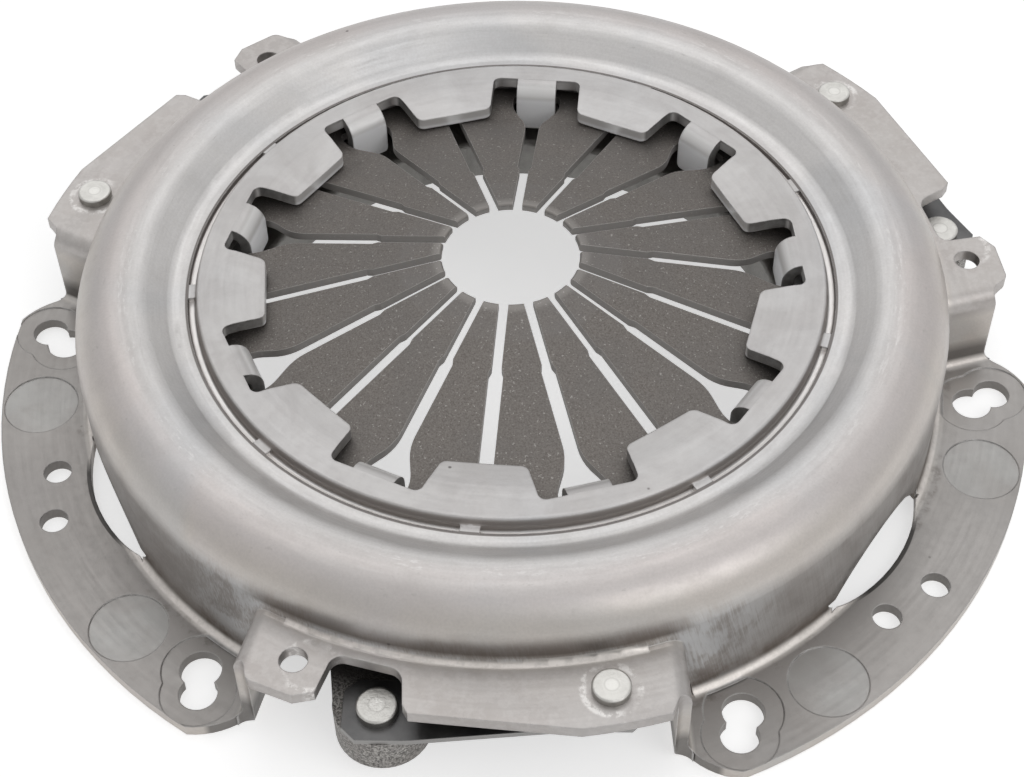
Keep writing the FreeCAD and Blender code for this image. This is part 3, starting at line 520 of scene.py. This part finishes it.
    def paint_wall(self):
        """Scraped wall darkened by painted dark reflection, a painted soft reflection beside
        the ledges, painted shade in brown at its foot and over the ledges.
        """
        n, place = self.nodes, self.place
        below = n.fall(place.z, 27, 38, smooth=True)
        scraped = n.total(n.both(self.drawn, 0.4), n.both(self.blot, 0.6))
        # Painted dark reflection on the upright wall, varied by the drawn and scraped marks
        self.paint("wall", n.both(self.wall, below, n.spread(self.blot, 0.3, 0.6, 0.75, 0.9)),
                   n.spread(scraped, 0.40, 0.60))
        # Painted soft reflection: pale bluish sheen on the wall towards the ledges, where drawn
        # marks are few
        self.paint("wall_sheen", n.both(self.wall, below, n.rise(place.off_middle, 36, 52),
                                    n.spread(scraped, 0.46, 0.56, 1.0, 0.0)))
        # Painted shade: dark brown at the foot of the wall, where it meets the flange
        self.paint("foot", n.both(self.wall, n.fall(place.z, 5, 13, smooth=True),
                                  n.spread(self.blot, 0.3, 0.6, 0.45, 0.85)))
        self.paint("shade", n.both(self.wall, n.rise(place.off_middle, *FLANGE_HALF),
                                   n.rise(place.z, 28.6, 30),
                                   n.fall(place.z, 30, 37, smooth=True)))

    def paint_creases(self):
        """Painted highlight along the creases where flange and ledge meet the wall, with a dark
        patchy band on the flange beside them.
        """
        n, place = self.nodes, self.place
        flange_crease = n.both(n.band(place.radius, FLANGE_CREASE, 0.35, 0.55),
                               n.band(place.z, 4.3, 1.0, 0.6))
        ledge_crease = n.both(n.band(place.radius, LEDGE_CREASE, 0.25, 0.4),
                              n.band(place.z, 27.9, 0.7, 0.5), n.rise(place.off_middle, 60, 64))
        self.crease = n.both(n.most(flange_crease, ledge_crease),
                             n.spread(self.fleck, 0.36, 0.58, 0.35, 1.0),
                             n.spread(self.blot, 0.3, 0.5, 0.5, 1.0))
        # Painted highlight: bright line along the rough creases
        self.paint("crease", self.crease)
        # Dark patchy band on the flange beside the wall's crease
        self.paint("crease_band_dark", n.both(n.band(place.radius, CREASE_BAND, 0.8, 1.4), self.low,
                                  n.spread(self.fleck, 0.46, 0.60),
                                  n.spread(self.blot, 0.48, 0.62)))

    def paint_crest(self):
        """Pale broken marks along the crest and dark dashes over all of the crown."""
        n, place = self.nodes, self.place
        self.paint("crest_pale_mark", n.both(n.band(place.radius, CREST, 0.8, 1.8), self.high,
                                   n.spread(self.dashes, 0.54, 0.64),
                                   n.spread(self.blot, 0.4, 0.6)))
        self.paint("dash", n.both(self.high, n.spread(self.dashes, 0.66, 0.72)))

    def paint_gaps(self):
        """Painted shade along the rim of the lens-shaped gap, and the dark arch in the wall
        beside it.
        """
        n, place = self.nodes, self.place
        lens_side = n.length(place.across, n.math("SUBTRACT", place.outward, LENS_CENTRE * MM))
        # Painted shade: near-black band along the gap's rim
        self.paint("lens", n.both(n.band(lens_side, LENS_RADIUS, 0.55, 0.25), self.flange,
                                  n.fall(place.off_middle, 11, 16)))
        arch_side = n.length(place.across, n.total(place.z, ARCH_DEPTH * MM))
        arch = n.both(self.wall, n.fall(arch_side, *ARCH_RADIUS), n.rise(place.z, 3, 5))
        self.paint("arch", n.both(arch, n.spread(self.fleck, 0.40, 0.52, 0.7, 0.25)))

    def paint_lines(self):
        """Thin outlines of the flanges' discs and of the two-lobed seats of the bolts."""
        n, place = self.nodes, self.place
        disc_away = place.distance_from(DISC_SPOT)
        seat_away = place.distance_from(SEAT_SPOT)
        key_away = place.distance_from(KEY_SPOT)
        disc_line = n.band(disc_away, DISC_RADIUS, 0.12, LINE_SOFTNESS)
        seat_line = n.both(n.band(seat_away, SEAT_RADIUS, 0.10, LINE_SOFTNESS),
                           n.rise(key_away, 9.2, 9.5))
        key_line = n.both(n.band(key_away, KEY_RADIUS, 0.10, LINE_SOFTNESS),
                          n.rise(seat_away, 8.8, 9.1))
        lines = n.both(n.most(disc_line, n.most(seat_line, key_line)), self.flange,
                       n.fall(place.z, 3.0, 3.4), n.spread(self.blot, 0.38, 0.58, 0.95, 0.15))
        self.paint("disc", n.both(n.fall(disc_away, 9.2, 9.5), self.low,
                                  n.spread(self.blot, 0.35, 0.65, 0.1, 0.6)))
        self.paint("line", lines)

    def paint_specks(self, size=130.0, share=0.14):
        """Small dark dots strewn over the surface, in a share of the noise's cells."""
        n = self.nodes
        cells = n.add("ShaderNodeTexVoronoi")
        cells.inputs["Scale"].default_value = size
        n.link(self.place.position, cells.inputs["Vector"])
        parts = n.add("ShaderNodeSeparateColor")
        n.link(cells.outputs["Color"], parts.inputs[0])
        chosen = n.spread(parts.outputs[0], 1.0 - share, 1.0 - share + 0.02)
        self.paint("speck", n.both(chosen,
                                   n.spread(cells.outputs["Distance"], 0.035, 0.07, 1.0, 0.0)))

    def relief(self):
        """Fine height of the surface: grain, drawn streaks and marks, rough creases."""
        n, place = self.nodes, self.place
        height = n.total(n.both(self.grain, 0.5), n.both(self.ringed, self.streaks, 0.25))
        streaked = n.both(self.wall, n.spread(place.z, 22 * MM, 33 * MM, 0.8, 0.0),
                          n.fall(place.off_middle, *FLANGE_HALF))
        height = n.total(height, n.both(streaked, self.drawn))
        return n.total(height, n.both(self.crease, self.fleck))


def cover_steel():
    cover = CoverSurface()
    cover.paint_sheet()
    cover.paint_flats()
    cover.paint_hooks()
    cover.paint_bead()
    cover.paint_wall()
    cover.paint_creases()
    cover.paint_crest()
    cover.paint_gaps()
    cover.paint_lines()
    cover.paint_specks()
    n = cover.nodes
    # Painted highlight along the edges, patchy
    cover.paint("edge", n.both(cover.edge, n.spread(cover.fleck, 0.35, 0.6, 0.15, 0.6)))
    roughness = n.total(n.spread(cover.streaks, 0.3, 0.7, 0.34, 0.46),
                        n.spread(cover.fleck, 0.4, 0.7, 0.0, 0.08))
    return cover.finish(roughness, cover.relief(), 0.3, 0.00012)


def spring_steel():
    """Phosphated spring: fine dark brown grain with specks, worn paler at the tips, painted
    light on its upright sides and painted highlight along its edges.
    """
    spring = Surface("spring_steel", SPRING_PAINTS, 0.7, 0.5, (0.115, 0.102, 0.093), 0.0003)
    n, place = spring.nodes, spring.place
    grain = n.noise(place.position, 2300.0, 4.0, 0.7)
    cloud = n.noise(place.position, 60.0, 3.0, 0.6)
    spring.bare(n.spread(grain, 0.36, 0.66))
    spring.paint("cloud", n.spread(cloud, 0.4, 0.7))
    spring.paint("tip", n.fall(place.radius, 18.5, 20.5, smooth=True))
    spring.paint("rubbed_and_glint", n.both(n.fall(place.radius, 27, 28.5),
                                  n.spread(cloud, 0.35, 0.6, 0.35, 0.8)))
    # Painted light: upright sides paler than the top
    spring.paint("side", place.upright())
    # Painted highlight along the edges
    spring.paint("edge", spring.edge)
    spring.paint("speck", n.spread(n.noise(place.position, 1500.0, 2.0, 0.5), 0.66, 0.7))
    return spring.finish(n.spread(grain, 0.3, 0.7, 0.42, 0.6), grain, 0.5, 0.0001)


def strap_steel():
    """Blued leaf steel, smooth and nearly black, with paler sheared edges."""
    strap = Surface("strap_steel", STRAP_PAINTS, 0.9, 0.34, (0.035, 0.036, 0.038), 0.0003)
    n, place = strap.nodes, strap.place
    cloud = n.noise(place.position, 90.0, 4.0, 0.6)
    fine = n.noise(place.position, 1500.0, 3.0, 0.6)
    strap.bare(n.spread(cloud, 0.35, 0.7))
    strap.paint("sheared", n.most(place.upright(), strap.edge))
    return strap.finish(n.spread(cloud, 0.3, 0.7, 0.3, 0.44), fine, 0.2, 0.00006)


def rivet_steel():
    """Zinc plated rivet heads: faint pressed grain, painted shade on the sides and foot,
    painted highlight on the edges, pale centre in a thin ring.
    """
    rivet = Surface("rivet_steel", RIVET_PAINTS, 1.0, 0.36, (0.62, 0.61, 0.58), 0.0005)
    n, place = rivet.nodes, rivet.place
    cloud = n.noise(place.position, 260.0, 4.0, 0.6)
    fine = n.noise(place.position, 1800.0, 3.0, 0.6)
    rivet.bare(n.spread(cloud, 0.35, 0.7))
    # Painted shade in patches on the sides of the heads
    rivet.paint("patchy_side_shade", n.both(n.spread(place.facing_up, 0.2, 0.6, 1.0, 0.0),
                                  n.spread(cloud, 0.3, 0.6)))
    # Painted highlight along the edges
    rivet.paint("edge", rivet.edge)
    # Painted shade on the foot and sides of the heads
    rivet.paint("foot", n.spread(place.facing_up, 0.15, 0.6, 1.0, 0.0))
    cover_away = place.distance_from(COVER_RIVET_SPOT)
    plate_away = place.distance_from(PLATE_RIVET_SPOT)
    rivet.paint("ring", n.most(n.band(cover_away, 1.6, 0.12, LINE_SOFTNESS),
                               n.band(plate_away, 1.9, 0.12, LINE_SOFTNESS)))
    rivet.paint("centre", n.fall(n.math("MINIMUM", cover_away, plate_away), 0.8, 2.6,
                                 smooth=True))
    height = n.total(fine, n.both(cloud, 2.0))
    return rivet.finish(n.spread(cloud, 0.3, 0.7, 0.3, 0.46), height, 0.4, 0.00015)


def cast_iron():
    """Sand-cast skin with coarse bright and dark grains, painted shadow under the cover, turned
    bore.
    """
    iron = Surface("cast_iron", IRON_PAINTS, 0.85, 0.5, (0.2, 0.19, 0.18), 0.0006)
    n, place = iron.nodes, iron.place
    coarse = n.noise(place.position, 1700.0, 3.0, 0.75)
    cloud = n.noise(place.position, 120.0, 3.0, 0.6)
    iron.bare(n.spread(coarse, 0.40, 0.62))
    iron.paint("cloud", n.spread(cloud, 0.4, 0.7))
    # Painted shadow on the plate where the cover hangs over it
    iron.paint("inner", n.fall(place.radius, 111, 117))
    iron.paint("turned", n.both(n.fall(place.radius, 76, 84),
                                n.spread(cloud, 0.3, 0.6, 0.7, 1.0)))
    return iron.finish(n.spread(coarse, 0.3, 0.7, 0.38, 0.62), coarse, 0.8, 0.0003)


def add_object(name, data):
    thing = bpy.data.objects.new(name, data)
    bpy.context.collection.objects.link(thing)
    return thing


def dress(thing, material):
    thing.data.materials.clear()
    thing.data.materials.append(material)


def copy_of(node, name):
    """A new piece with the shape of a node, which is hidden in its place."""
    piece = add_object(name, frame["nodes"][node].data.copy())
    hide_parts(node)
    return piece


def make_flexing_pieces(spring_material, strap_material):
    """Copies of the spring and of the straps that reach from the cover to the plate."""
    spring = copy_of("diaphragm_spring", "diaphragm_spring_flexing")
    dress(spring, spring_material)
    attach(spring, "cover")
    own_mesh(spring)
    for index in range(STRAP_PACKS):
        for leaf in ("lower_strap", "upper_strap"):
            strap = copy_of("%s_%d" % (leaf, index + 1), "%s_flexing_%d" % (leaf, index + 1))
            dress(strap, strap_material)
            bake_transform(strap)


def make_camera():
    """Camera at the place and angle that the photograph was taken from."""
    data = bpy.data.cameras.new("camera")
    data.lens = LENS
    data.sensor_width = SENSOR_WIDTH
    data.clip_start = CLIP_START
    camera = add_object("camera", data)
    azimuth = math.radians(CAMERA_AZIMUTH)
    elevation = math.radians(CAMERA_ELEVATION)
    roll = math.radians(CAMERA_ROLL)
    back = Vector((math.sin(azimuth) * math.cos(elevation),
                   -math.cos(azimuth) * math.cos(elevation),
                   math.sin(elevation)))
    level = back.cross(Vector((0, 0, -1))).normalized()
    upright = back.cross(level)
    right = level * math.cos(roll) + upright * math.sin(roll)
    up = upright * math.cos(roll) - level * math.sin(roll)
    turn = Matrix((right, up, back)).transposed().to_4x4()
    camera.matrix_world = Matrix.Translation(Vector(CAMERA_PLACE) * MM) @ turn
    bpy.context.scene.camera = camera


def make_floor():
    """Plain pale floor that the part stands on."""
    mesh = bpy.data.meshes.new("floor")
    reach = FLOOR_REACH
    corners = [(-reach, -reach, 0), (reach, -reach, 0), (reach, reach, 0), (-reach, reach, 0)]
    mesh.from_pydata(corners, [], [(0, 1, 2, 3)])
    floor = add_object("floor", mesh)
    floor.location.z = CAD_BOX[0].z - FLOOR_GAP * MM
    material = bpy.data.materials.new("floor")
    material.use_nodes = True
    inputs = material.node_tree.nodes["Principled BSDF"].inputs
    inputs["Base Color"].default_value = FLOOR_COLOUR
    inputs["Roughness"].default_value = 0.9
    inputs["Specular IOR Level"].default_value = 0.1
    inputs["Emission Color"].default_value = WHITE
    n = Nodes(material.node_tree)
    path = n.add("ShaderNodeLightPath")
    n.link(n.most(n.both(path.outputs["Is Camera Ray"], FLOOR_SEEN),
                  n.both(path.outputs["Is Glossy Ray"], FLOOR_MIRRORED)),
           inputs["Emission Strength"])
    dress(floor, material)


def make_world():
    """White studio for the camera, and a paler top than sides for what the metal mirrors."""
    world = bpy.data.worlds.new("world")
    bpy.context.scene.world = world
    world.use_nodes = True
    background = world.node_tree.nodes["Background"]
    n = Nodes(world.node_tree)
    coordinates = n.add("ShaderNodeTexCoord")
    parts = n.add("ShaderNodeSeparateXYZ")
    n.link(coordinates.outputs["Generated"], parts.inputs[0])
    lift = n.total(n.both(parts.outputs[2], 0.8), n.both(parts.outputs[1], 0.35))
    studio = n.spread(lift, -0.1, 0.95, 0.62, 0.82, smooth=True)
    path = n.add("ShaderNodeLightPath")
    seen = n.most(path.outputs["Is Camera Ray"], path.outputs["Is Transmission Ray"])
    mirrored = n.both(path.outputs["Is Glossy Ray"], studio)
    strength = n.most(seen, n.most(mirrored, n.both(studio, WORLD_LIGHT)))
    background.inputs["Color"].default_value = WHITE
    n.link(strength, background.inputs["Strength"])


def make_lamp(name, place, width, power):
    """Soft square lamp that points at the part."""
    data = bpy.data.lights.new(name, "AREA")
    data.shape = "RECTANGLE"
    data.size = width
    data.size_y = width
    data.energy = power
    lamp = add_object(name, data)
    lamp.location = place
    aim = Vector(LAMP_TARGET) - Vector(place)
    lamp.rotation_euler = aim.to_track_quat("-Z", "Y").to_euler()


bpy.context.scene.view_settings.view_transform = "Standard"
make_camera()
materials = {
    "cover_steel": cover_steel(),
    "spring_steel": spring_steel(),
    "strap_steel": strap_steel(),
    "rivet_steel": rivet_steel(),
    "cast_iron": cast_iron(),
}
slots = {part["node"]: part["material_slot"] for part in frame["record"]["subparts"]}
for node, thing in frame["nodes"].items():
    dress(thing, materials[slots[node]])
make_flexing_pieces(materials["spring_steel"], materials["strap_steel"])
make_floor()
make_world()
for name, (place, width, power) in LAMPS.items():
    make_lamp(name, place, width, power)
